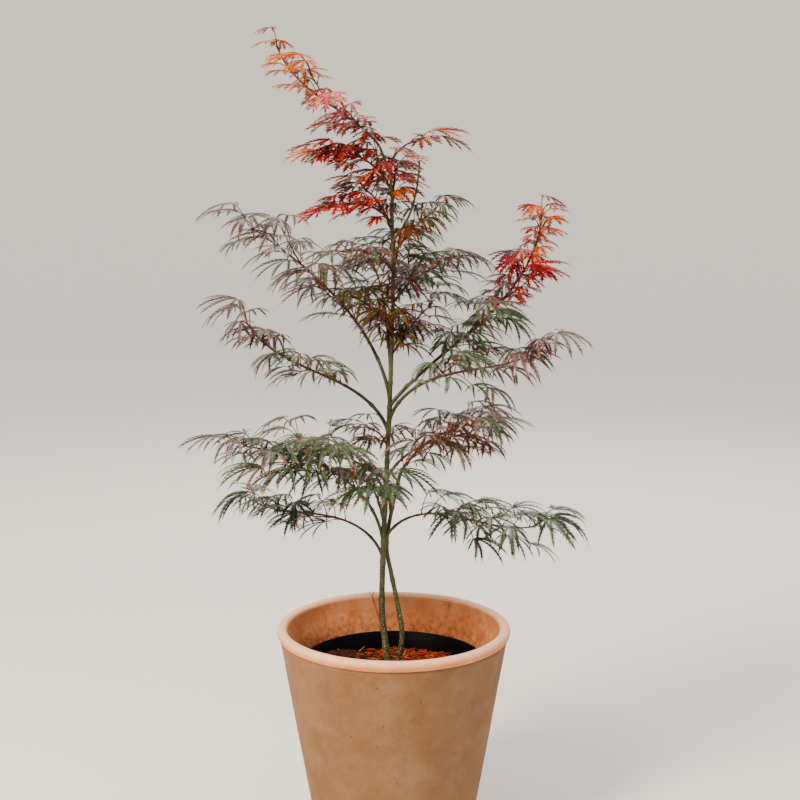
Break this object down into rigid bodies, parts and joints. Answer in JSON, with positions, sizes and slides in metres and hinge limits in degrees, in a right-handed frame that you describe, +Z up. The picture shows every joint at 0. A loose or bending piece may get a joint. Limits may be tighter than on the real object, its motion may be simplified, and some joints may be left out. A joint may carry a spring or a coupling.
{
  "type": "potted cut-leaf japanese maple",
  "caption": "Young cut-leaf maple on slender twin stems with arching tiers of finely divided leaves, in a nursery pot set inside a plain round terracotta planter.",
  "frame": {"origin": "centre of the planter's flat underside", "axes": "+Z up, -Y towards the picture's viewer, +X to the viewer's right"},
  "size_m": [0.486, 0.3708, 0.9677],
  "materials": {
    "clay": "matte",
    "plastic": "matte",
    "mulch": "matte",
    "bark": "matte",
    "young_bark": "satin",
    "leaf_bronze": "satin",
    "leaf_red": "satin",
    "leaf_orange": "satin"
  },
  "bodies": {
    "root": {"planter": "clay", "growers_pot": "plastic", "mulch_and_compost": "mulch", "stem_main": "bark", "stem_second": "bark", "bough_pruned_spur": "bark", "bough_low_left": "young_bark", "bough_low_right": "young_bark", "bough_low_back": "young_bark", "bough_low_left_high": "young_bark", "bough_mid_left": "young_bark", "bough_mid_back": "young_bark", "bough_mid_front": "young_bark", "bough_mid_right": "young_bark", "bough_fork_left": "young_bark", "bough_fork_right_low": "young_bark", "bough_fork_right_high": "young_bark", "bough_fork_left_high": "young_bark", "bough_fork_back": "young_bark", "foliage_low_left": "leaf_bronze", "foliage_low_right": "leaf_bronze", "foliage_low_back": "leaf_bronze", "foliage_low_left_high": "leaf_bronze", "foliage_mid_left": "leaf_bronze", "foliage_mid_back": "leaf_bronze", "foliage_mid_front": "leaf_bronze", "foliage_mid_right": "leaf_bronze", "foliage_second_stem": "leaf_bronze", "foliage_fork_left": "leaf_bronze", "foliage_fork_right_low": "leaf_bronze", "foliage_fork_right_high": "leaf_bronze", "foliage_fork_left_high": "leaf_bronze", "foliage_fork_back": "leaf_bronze", "foliage_fork_shoot": "leaf_bronze", "foliage_column_right_low": "leaf_bronze", "foliage_column_front_low": "leaf_bronze", "foliage_column_left_low": "leaf_bronze", "foliage_column_right": "leaf_bronze", "foliage_column_back": "leaf_bronze", "foliage_column_left": "leaf_bronze", "foliage_column_right_high": "leaf_bronze", "foliage_column_back_high": "leaf_bronze", "foliage_red_left_low": "leaf_red", "foliage_red_back": "leaf_red", "foliage_red_left_high": "leaf_red", "foliage_orange_right": "leaf_orange", "foliage_leader": "leaf_orange"}
  },
  "joints": []
}
